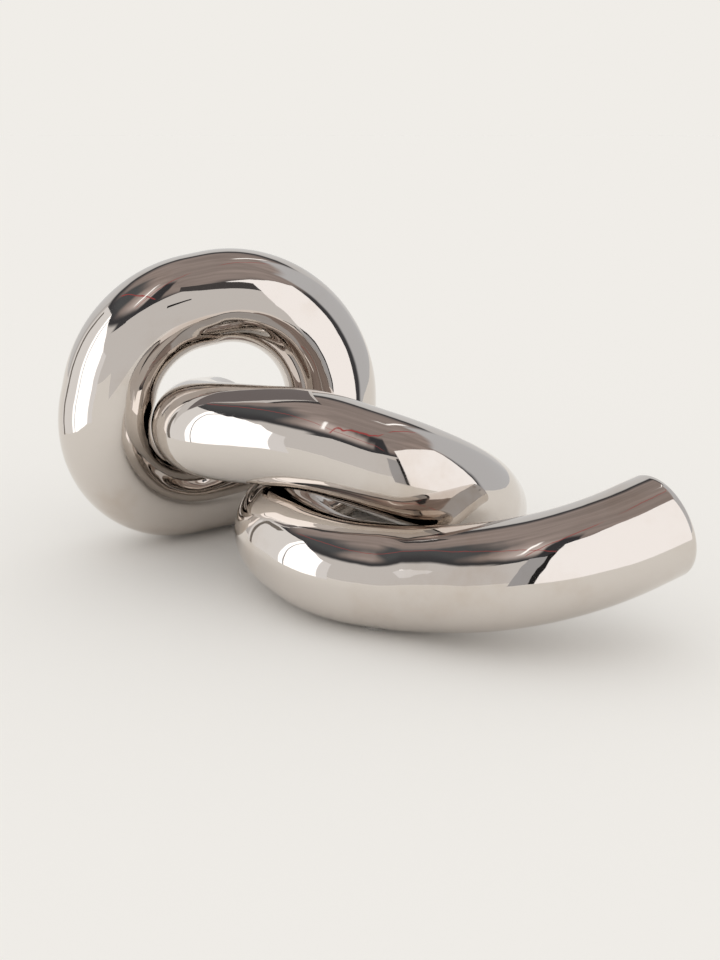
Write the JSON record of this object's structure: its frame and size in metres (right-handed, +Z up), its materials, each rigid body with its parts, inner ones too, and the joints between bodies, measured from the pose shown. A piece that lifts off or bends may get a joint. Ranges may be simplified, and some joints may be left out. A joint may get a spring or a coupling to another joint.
{
  "type": "knot sculpture",
  "caption": "Polished metal tube tied in a loose overhand knot: an upright loop, and a tube that comes round it, climbs over itself and ends in the loop.",
  "frame": {"origin": "middle of the overall box, on the table under the sculpture", "axes": "+X along the longest side, towards the free tail end; +Z up; the front of the sculpture faces -Y"},
  "size_m": [0.3, 0.2552, 0.1588],
  "materials": {
    "polished_tube": "mirror polished",
    "inner_steel": "turned",
    "pad_felt": "felt"
  },
  "bodies": {
    "root": {"tail_tube": "polished_tube", "front_tube": "polished_tube", "front_left_bend": "polished_tube", "left_return_bend": "polished_tube", "loop_right_foot": "polished_tube", "loop_top_right": "polished_tube", "loop_top_left": "polished_tube", "loop_left_foot": "polished_tube", "back_bend": "polished_tube", "right_bend": "polished_tube", "rising_bend": "polished_tube", "upper_arm": "polished_tube", "tail_end_cap": "polished_tube", "inner_end_cap": "polished_tube", "tail_sleeve": "inner_steel", "front_sleeve": "inner_steel", "left_sleeve": "inner_steel", "loop_foot_sleeve": "inner_steel", "loop_right_sleeve": "inner_steel", "loop_top_sleeve": "inner_steel", "loop_left_sleeve": "inner_steel", "loop_base_sleeve": "inner_steel", "back_sleeve": "inner_steel", "right_sleeve": "inner_steel", "arm_sleeve": "inner_steel", "felt_pads": "pad_felt"}
  },
  "joints": []
}
